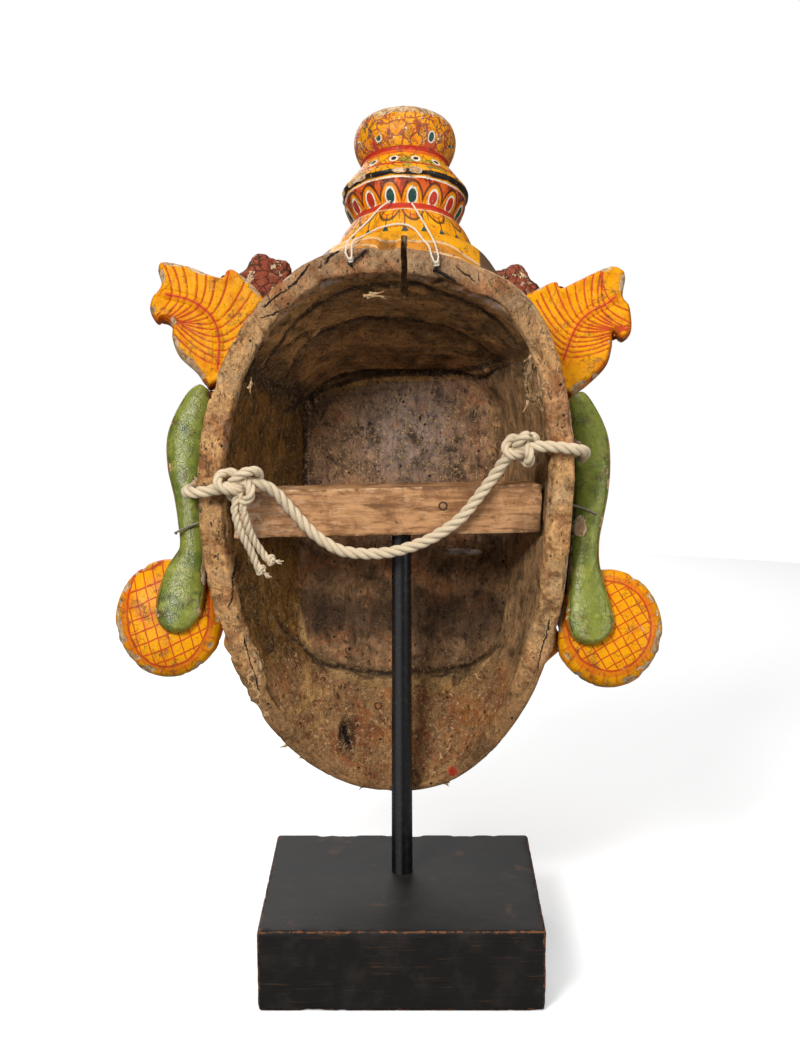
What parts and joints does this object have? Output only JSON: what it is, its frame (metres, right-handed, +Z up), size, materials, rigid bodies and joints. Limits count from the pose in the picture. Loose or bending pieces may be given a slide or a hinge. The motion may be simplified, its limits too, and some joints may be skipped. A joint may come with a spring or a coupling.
{
  "type": "painted wooden mask on a stand",
  "caption": "Hollow carved and painted wooden mask with a turned crown and ear ornaments, held by a crossbar and rod on a square block.",
  "frame": {"origin": "centre of the block's underside", "axes": "+Z up, -Y the way the mask's face looks, +Y out of its open back, +X to the mask's own left"},
  "size_m": [0.3072, 0.1908, 0.4752],
  "materials": {
    "black_paint": "black paint over wood, worn at the edges",
    "black_steel": "satin black",
    "bar_wood": "bare worn wood",
    "mask_wood": "aged carved wood, painted outside",
    "crown_paint": "yellow gloss paint with painted pattern",
    "leaf_paint": "yellow, green and red gloss paint, chipped",
    "rope_cotton": "undyed cotton",
    "nail_iron": "rusted iron"
  },
  "bodies": {
    "root": {"base_block": "black_paint", "rod": "black_steel", "crossbar": "bar_wood", "mask_body": "mask_wood", "crown": "crown_paint", "ear_ornament_left": "leaf_paint", "ear_ornament_right": "leaf_paint", "rope": "rope_cotton", "knot_left": "rope_cotton", "knot_right": "rope_cotton", "rope_tail_front": "rope_cotton", "rope_tail_back": "rope_cotton", "thread_left": "rope_cotton", "thread_right": "rope_cotton", "thread_arch": "rope_cotton", "nail_left": "nail_iron", "nail_right": "nail_iron", "wire_tie_left": "nail_iron", "wire_tie_right": "nail_iron"}
  },
  "joints": []
}
